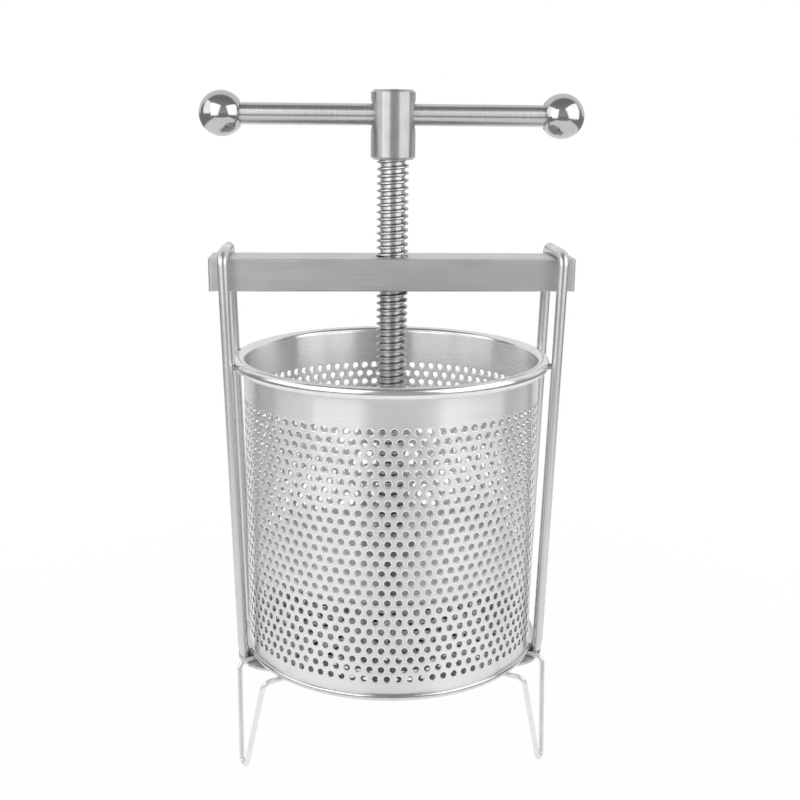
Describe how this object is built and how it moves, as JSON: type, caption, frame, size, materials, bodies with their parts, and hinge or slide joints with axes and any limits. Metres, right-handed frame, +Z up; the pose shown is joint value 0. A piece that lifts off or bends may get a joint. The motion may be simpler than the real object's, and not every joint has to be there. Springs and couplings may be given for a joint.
{
  "type": "vegetable squeezer",
  "caption": "Hand screw press for squeezing water out of vegetables: T-handled screw in a crossbar drives a round plate down a perforated steel basket on wire feet.",
  "frame": {"origin": "on the table, on the screw's axis, at the centre of the circle through the foot tips", "axes": "+Z up along the screw, X along the crossbar and the handle bar, -Y towards the two front feet"},
  "size_m": [0.215, 0.1945, 0.3853],
  "materials": {
    "perforated_sheet": "perforated stainless sheet, brushed round the basket",
    "floor_sheet": "satin stainless sheet",
    "polished_wire": "polished stainless wire",
    "polished_rod": "polished stainless rod",
    "weld_metal": "cleaned weld",
    "brushed_bar": "stainless tube, brushed lengthways",
    "bronze_nut": "machined bronze",
    "cut_thread": "machined stainless thread",
    "turned_hub": "turned stainless",
    "brushed_handle": "brushed stainless bar",
    "polished_ball": "mirror-polished stainless",
    "turned_plate": "turned stainless plate",
    "pin_steel": "plain steel pin"
  },
  "bodies": {
    "frame": {"basket_wall": "perforated_sheet", "basket_floor": "floor_sheet", "base_strap": "floor_sheet", "front_left_foot": "polished_wire", "front_right_foot": "polished_wire", "rear_foot": "polished_wire", "left_bail": "polished_rod", "right_bail": "polished_rod", "rim_welds": "weld_metal", "strap_welds": "weld_metal", "crossbar": "brushed_bar", "left_end_cap": "brushed_bar", "right_end_cap": "brushed_bar", "crossbar_nut": "bronze_nut"},
    "plate": {"press_plate": "turned_plate", "plate_boss": "turned_plate", "swivel_pins": "pin_steel"},
    "screw": {"press_screw": "cut_thread", "screw_hub": "turned_hub", "handle_bar": "brushed_handle", "left_ball": "polished_ball", "right_ball": "polished_ball"}
  },
  "joints": [
    {"name": "press_travel", "type": "slide", "parent": "frame", "child": "plate", "axis": [0, 0, 1], "range_m": [-0.0516, 0.1451]},
    {"name": "screw_turn", "type": "hinge", "parent": "plate", "child": "screw", "pos_m": [0, 0, 0.285], "axis": [0, 0, 1], "range_deg": [-4635, 13050]}
  ],
  "couplings": [
    {"joint": "press_travel", "follows": "screw_turn", "m_per_rad": 0.00063662}
  ]
}
